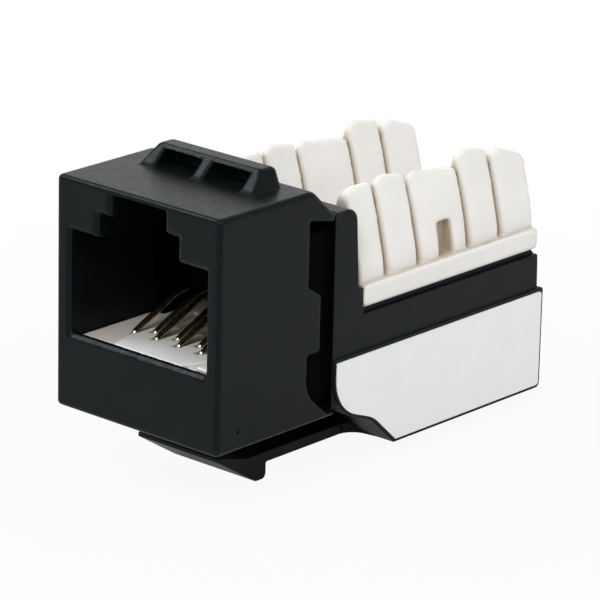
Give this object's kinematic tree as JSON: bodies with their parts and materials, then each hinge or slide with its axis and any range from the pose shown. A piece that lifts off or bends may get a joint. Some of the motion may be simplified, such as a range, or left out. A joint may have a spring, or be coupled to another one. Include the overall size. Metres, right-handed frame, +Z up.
{
  "type": "keystone jack",
  "caption": "Black snap-in modular jack with a stepped plug port, sprung gold contacts, a flexible latch below and a white punch-down block behind.",
  "frame": {"origin": "middle of the lower edge of the front face, where the port opens", "axes": "+X across the width to the right seen from the front, +Y from the front face to the rear, +Z up to the fixed lug"},
  "size_m": [0.0147, 0.0337, 0.0222],
  "materials": {
    "black_plastic": "moulded, fine satin",
    "natural_plastic": "translucent white, moulded",
    "white_plastic": "ivory white, moulded",
    "board_laminate": "green solder mask",
    "label_paper": "smooth white label",
    "gold_plate": "gold plated",
    "tinned_blade": "tin plated"
  },
  "bodies": {
    "jack": {"front_housing": "black_plastic", "rear_housing": "black_plastic", "contact_carrier": "natural_plastic", "circuit_board": "board_laminate", "idc_block": "white_plastic", "side_label": "label_paper", "contact_lead_1": "gold_plate", "contact_lead_2": "gold_plate", "contact_lead_3": "gold_plate", "contact_lead_4": "gold_plate", "contact_lead_5": "gold_plate", "contact_lead_6": "gold_plate", "contact_lead_7": "gold_plate", "contact_lead_8": "gold_plate", "idc_blade_1": "tinned_blade", "idc_blade_2": "tinned_blade", "idc_blade_3": "tinned_blade", "idc_blade_4": "tinned_blade", "idc_blade_5": "tinned_blade", "idc_blade_6": "tinned_blade", "idc_blade_7": "tinned_blade", "idc_blade_8": "tinned_blade"},
    "latch": {"flex_latch": "black_plastic"},
    "contact_spring_1": {"contact_1": "gold_plate"},
    "contact_spring_2": {"contact_2": "gold_plate"},
    "contact_spring_3": {"contact_3": "gold_plate"},
    "contact_spring_4": {"contact_4": "gold_plate"},
    "contact_spring_5": {"contact_5": "gold_plate"},
    "contact_spring_6": {"contact_6": "gold_plate"},
    "contact_spring_7": {"contact_7": "gold_plate"},
    "contact_spring_8": {"contact_8": "gold_plate"}
  },
  "joints": [
    {"name": "latch_flex", "type": "hinge", "parent": "jack", "child": "latch", "pos_m": [0, 0.0162, -0.00317], "axis": [1, 0, 0], "range_deg": [-9, 0], "stiffness_Nm_per_rad": 0.7},
    {"name": "contact_flex_1", "type": "hinge", "parent": "jack", "child": "contact_spring_1", "pos_m": [-0.00357, 0.00415, 0.00542], "axis": [1, 0, 0], "range_deg": [-9, 0], "stiffness_Nm_per_rad": 0.025},
    {"name": "contact_flex_2", "type": "hinge", "parent": "jack", "child": "contact_spring_2", "pos_m": [-0.00255, 0.0051, 0.00542], "axis": [1, 0, 0], "range_deg": [-9, 0], "stiffness_Nm_per_rad": 0.025},
    {"name": "contact_flex_3", "type": "hinge", "parent": "jack", "child": "contact_spring_3", "pos_m": [-0.00153, 0.00415, 0.00542], "axis": [1, 0, 0], "range_deg": [-9, 0], "stiffness_Nm_per_rad": 0.025},
    {"name": "contact_flex_4", "type": "hinge", "parent": "jack", "child": "contact_spring_4", "pos_m": [-0.00051, 0.0051, 0.00542], "axis": [1, 0, 0], "range_deg": [-9, 0], "stiffness_Nm_per_rad": 0.025},
    {"name": "contact_flex_5", "type": "hinge", "parent": "jack", "child": "contact_spring_5", "pos_m": [0.00051, 0.00415, 0.00542], "axis": [1, 0, 0], "range_deg": [-9, 0], "stiffness_Nm_per_rad": 0.025},
    {"name": "contact_flex_6", "type": "hinge", "parent": "jack", "child": "contact_spring_6", "pos_m": [0.00153, 0.0051, 0.00542], "axis": [1, 0, 0], "range_deg": [-9, 0], "stiffness_Nm_per_rad": 0.025},
    {"name": "contact_flex_7", "type": "hinge", "parent": "jack", "child": "contact_spring_7", "pos_m": [0.00255, 0.00415, 0.00542], "axis": [1, 0, 0], "range_deg": [-9, 0], "stiffness_Nm_per_rad": 0.025},
    {"name": "contact_flex_8", "type": "hinge", "parent": "jack", "child": "contact_spring_8", "pos_m": [0.00357, 0.0051, 0.00542], "axis": [1, 0, 0], "range_deg": [-9, 0], "stiffness_Nm_per_rad": 0.025}
  ]
}
